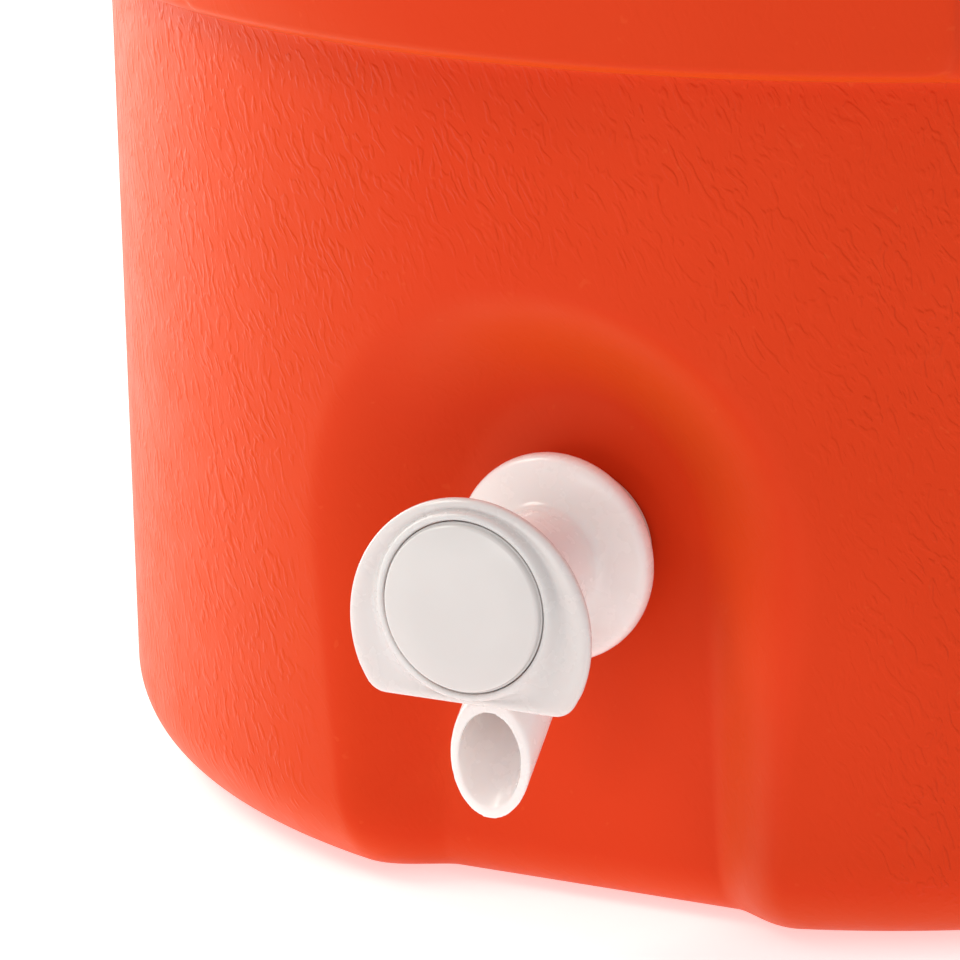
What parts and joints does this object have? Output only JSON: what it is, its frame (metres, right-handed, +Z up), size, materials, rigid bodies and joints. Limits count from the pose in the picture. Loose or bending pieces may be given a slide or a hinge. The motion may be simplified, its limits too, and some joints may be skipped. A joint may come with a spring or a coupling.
{
  "type": "insulated water jug",
  "caption": "Large insulated water jug: tapered cylinder with a raised belt, swing-up handles, lift-off lid and a push-button spigot set in an arched niche near the foot.",
  "frame": {"origin": "centre of the flat base, on the floor plane", "axes": "+Z up along the jug's axis, -Y the way the spigot points, +X to the right-hand handle seen from behind the jug"},
  "size_m": [0.391, 0.3626, 0.437],
  "materials": {
    "orange_shell": "moulded grain, satin",
    "orange_lid": "moulded grain, satin",
    "ear_orange": "smooth satin",
    "plug_orange": "smooth",
    "foam": "closed-cell foam",
    "liner_white": "smooth",
    "handle_white": "satin",
    "grip_white": "satin",
    "spigot_white": "glossy, slightly translucent",
    "button_white": "glossy, slightly translucent",
    "seal_rubber": "soft, matt",
    "o_ring_black": "soft, matt",
    "spring_steel": "drawn wire",
    "screw_steel": "satin"
  },
  "bodies": {
    "jug": {"outer_shell": "orange_shell", "foam_insulation": "foam", "inner_liner": "liner_white", "foam_fill_plug": "plug_orange", "ear_left_back": "ear_orange", "pivot_pin_left_back": "handle_white", "ear_screw_left_back": "screw_steel", "ear_left_front": "ear_orange", "pivot_pin_left_front": "handle_white", "ear_screw_left_front": "screw_steel", "ear_right_back": "ear_orange", "pivot_pin_right_back": "handle_white", "ear_screw_right_back": "screw_steel", "ear_right_front": "ear_orange", "pivot_pin_right_front": "handle_white", "ear_screw_right_front": "screw_steel", "spigot_body": "spigot_white", "spigot_guard": "spigot_white", "stem_seal": "o_ring_black", "return_spring": "spring_steel", "outer_gasket": "seal_rubber", "inner_gasket": "seal_rubber", "spigot_nut": "spigot_white"},
    "lid": {"lid_cover": "orange_lid", "lid_grip_bar": "orange_lid", "lid_foam": "foam", "lid_liner": "liner_white", "lid_gasket": "seal_rubber"},
    "handle_left": {"handle_left_bail": "handle_white", "handle_left_grip": "grip_white"},
    "handle_right": {"handle_right_bail": "handle_white", "handle_right_grip": "grip_white"},
    "tap_button": {"spigot_button": "button_white", "spigot_stem": "spigot_white", "plunger_seal": "seal_rubber"}
  },
  "joints": [
    {"name": "lid_lift", "type": "slide", "parent": "jug", "child": "lid", "axis": [0, 0, 1], "range_m": [0, 0.12]},
    {"name": "handle_left_swing", "type": "hinge", "parent": "jug", "child": "handle_left", "pos_m": [-0.185, 0, 0.332], "axis": [0, 1, 0], "range_deg": [0, 170]},
    {"name": "handle_right_swing", "type": "hinge", "parent": "jug", "child": "handle_right", "pos_m": [0.185, 0, 0.332], "axis": [0, -1, 0], "range_deg": [0, 170]},
    {"name": "tap_press", "type": "slide", "parent": "jug", "child": "tap_button", "axis": [0, 1, 0], "range_m": [0, 0.005], "stiffness_N_per_m": 800, "springref_m": -0.004, "deforming": ["return_spring"]}
  ]
}
